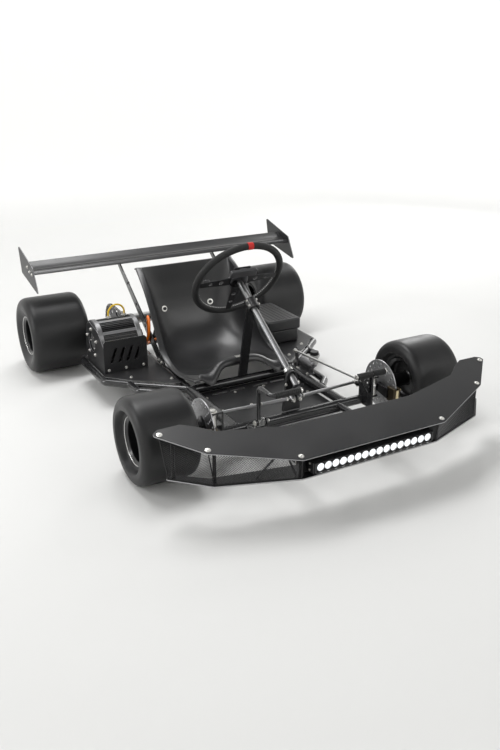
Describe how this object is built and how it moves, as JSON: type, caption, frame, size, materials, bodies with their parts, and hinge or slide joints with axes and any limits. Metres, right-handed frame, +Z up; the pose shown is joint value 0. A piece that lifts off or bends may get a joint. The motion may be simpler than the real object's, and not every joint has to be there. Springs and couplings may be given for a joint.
{
  "type": "racing kart",
  "caption": "A low black racing kart with slick tyres, a bucket seat, an electric motor beside it, chain drive, a sloping nose plate with a light bar and a small rear wing.",
  "frame": {"origin": "On the ground, in the middle of the kart's length and width.", "axes": "+Y runs to the rear, the nose points along -Y, +X is the driver's left and +Z is up."},
  "size_m": [1.148, 1.52, 0.5669],
  "materials": {
    "frame_powder": "satin black powder coat on steel tube",
    "sheet_black": "fine-textured black coat on aluminium sheet",
    "seat_laminate": "smooth dark laminate",
    "steel": "bright machined steel",
    "cast_alloy": "dark grey anodised",
    "motor_alloy": "black anodised",
    "rim_alloy": "gloss black",
    "tyre_rubber": "slick tread",
    "grip_rubber": "fine grain",
    "light_housing": "clear front",
    "cable_orange": "cable sheath",
    "cable_yellow": "cable sheath"
  },
  "bodies": {
    "frame": {"front_tube": "frame_powder", "mid_tube": "frame_powder", "rear_tube": "frame_powder", "right_rail": "frame_powder", "left_rail": "frame_powder", "right_side_bar": "frame_powder", "left_side_bar": "frame_powder", "right_horn": "frame_powder", "left_horn": "frame_powder", "floor_tray": "sheet_black", "seat_shell": "seat_laminate", "right_seat_stay": "frame_powder", "left_seat_stay": "frame_powder", "column_post": "frame_powder", "column_foot": "sheet_black", "right_yoke": "steel", "left_yoke": "steel", "right_hanger": "cast_alloy", "left_hanger": "cast_alloy", "motor": "motor_alloy", "motor_plate": "sheet_black", "drive_chain": "steel", "battery_box": "sheet_black", "master_cylinder": "cast_alloy", "wing_blade": "sheet_black", "right_endplate": "sheet_black", "left_endplate": "sheet_black", "right_wing_strut": "frame_powder", "left_wing_strut": "frame_powder", "nose_top": "sheet_black", "nose_lower": "sheet_black", "nose_grille": "sheet_black", "light_bar": "light_housing", "power_cable": "cable_orange", "sensor_cable": "cable_yellow"},
    "steering": {"steering_wheel": "grip_rubber", "wheel_display": "cast_alloy", "steering_column": "steel"},
    "right_stub": {"right_stub_axle": "steel"},
    "left_stub": {"left_stub_axle": "steel"},
    "right_tie": {"right_tie_rod": "frame_powder"},
    "left_tie": {"left_tie_rod": "frame_powder"},
    "front_right_wheel": {"front_right_rim": "rim_alloy", "front_right_tyre": "tyre_rubber", "front_right_disc": "steel"},
    "front_left_wheel": {"front_left_rim": "rim_alloy", "front_left_tyre": "tyre_rubber", "front_left_disc": "steel"},
    "rear_wheels": {"rear_axle": "steel", "rear_right_rim": "rim_alloy", "rear_right_tyre": "tyre_rubber", "rear_left_rim": "rim_alloy", "rear_left_tyre": "tyre_rubber", "axle_sprocket": "steel", "rear_disc": "steel"},
    "motor_shaft": {"motor_pinion": "steel"},
    "throttle": {"throttle_pedal": "frame_powder"},
    "brake": {"brake_pedal": "frame_powder"},
    "brake_pull": {"brake_rod": "steel"},
    "brake_arm": {"brake_lever": "cast_alloy"}
  },
  "joints": [
    {"name": "steering_turn", "type": "hinge", "parent": "frame", "child": "steering", "pos_m": [0, 0.017, 0.428], "axis": [0, 0.8396, 0.5432], "range_deg": [-45, 45]},
    {"name": "right_spindle_turn", "type": "hinge", "parent": "frame", "child": "right_stub", "pos_m": [-0.287, -0.36, 0.1285], "axis": [0, 0, 1], "range_deg": [-23, 23]},
    {"name": "left_spindle_turn", "type": "hinge", "parent": "frame", "child": "left_stub", "pos_m": [0.287, -0.36, 0.1285], "axis": [0, 0, 1], "range_deg": [-23, 23]},
    {"name": "right_rod_swing", "type": "hinge", "parent": "right_stub", "child": "right_tie", "pos_m": [-0.28, -0.29, 0.1205], "axis": [0.2194, 0.0263, 0.9753], "range_deg": [-25.5, 25.5]},
    {"name": "left_rod_swing", "type": "hinge", "parent": "left_stub", "child": "left_tie", "pos_m": [0.28, -0.29, 0.1205], "axis": [-0.2194, 0.0263, 0.9753], "range_deg": [-25.5, 25.5]},
    {"name": "front_right_spin", "type": "hinge", "parent": "right_stub", "child": "front_right_wheel", "pos_m": [-0.45, -0.36, 0.1285], "axis": [1, 0, 0], "continuous": true},
    {"name": "front_left_spin", "type": "hinge", "parent": "left_stub", "child": "front_left_wheel", "pos_m": [0.45, -0.36, 0.1285], "axis": [1, 0, 0], "continuous": true},
    {"name": "rear_axle_spin", "type": "hinge", "parent": "frame", "child": "rear_wheels", "pos_m": [0, 0.62, 0.14], "axis": [1, 0, 0], "continuous": true},
    {"name": "motor_spin", "type": "hinge", "parent": "frame", "child": "motor_shaft", "pos_m": [-0.231, 0.34, 0.1766], "axis": [1, 0, 0], "continuous": true},
    {"name": "throttle_press", "type": "hinge", "parent": "frame", "child": "throttle", "pos_m": [-0.168, -0.46, 0.15], "axis": [1, 0, 0], "range_deg": [0, 25], "stiffness_Nm_per_rad": 1.5},
    {"name": "brake_press", "type": "hinge", "parent": "frame", "child": "brake", "pos_m": [0.168, -0.525, 0.138], "axis": [1, 0, 0], "range_deg": [0, 15], "stiffness_Nm_per_rad": 6},
    {"name": "brake_rod_slide", "type": "slide", "parent": "frame", "child": "brake_pull", "axis": [0, -1, 0], "range_m": [0, 0.0205]},
    {"name": "brake_arm_turn", "type": "hinge", "parent": "frame", "child": "brake_arm", "pos_m": [0.214, -0.02, 0.11], "axis": [1, 0, 0], "range_deg": [0, 28]}
  ],
  "couplings": [
    {"joint": "right_spindle_turn", "follows": "steering_turn", "ratio": 0.5},
    {"joint": "left_spindle_turn", "follows": "steering_turn", "ratio": 0.5},
    {"joint": "right_rod_swing", "follows": "steering_turn", "ratio": -0.554},
    {"joint": "left_rod_swing", "follows": "steering_turn", "ratio": -0.554},
    {"joint": "motor_spin", "follows": "rear_axle_spin", "ratio": 3.0909},
    {"joint": "brake_rod_slide", "follows": "brake_press", "m_per_rad": 0.077},
    {"joint": "brake_arm_turn", "follows": "brake_press", "ratio": 1.8333}
  ]
}
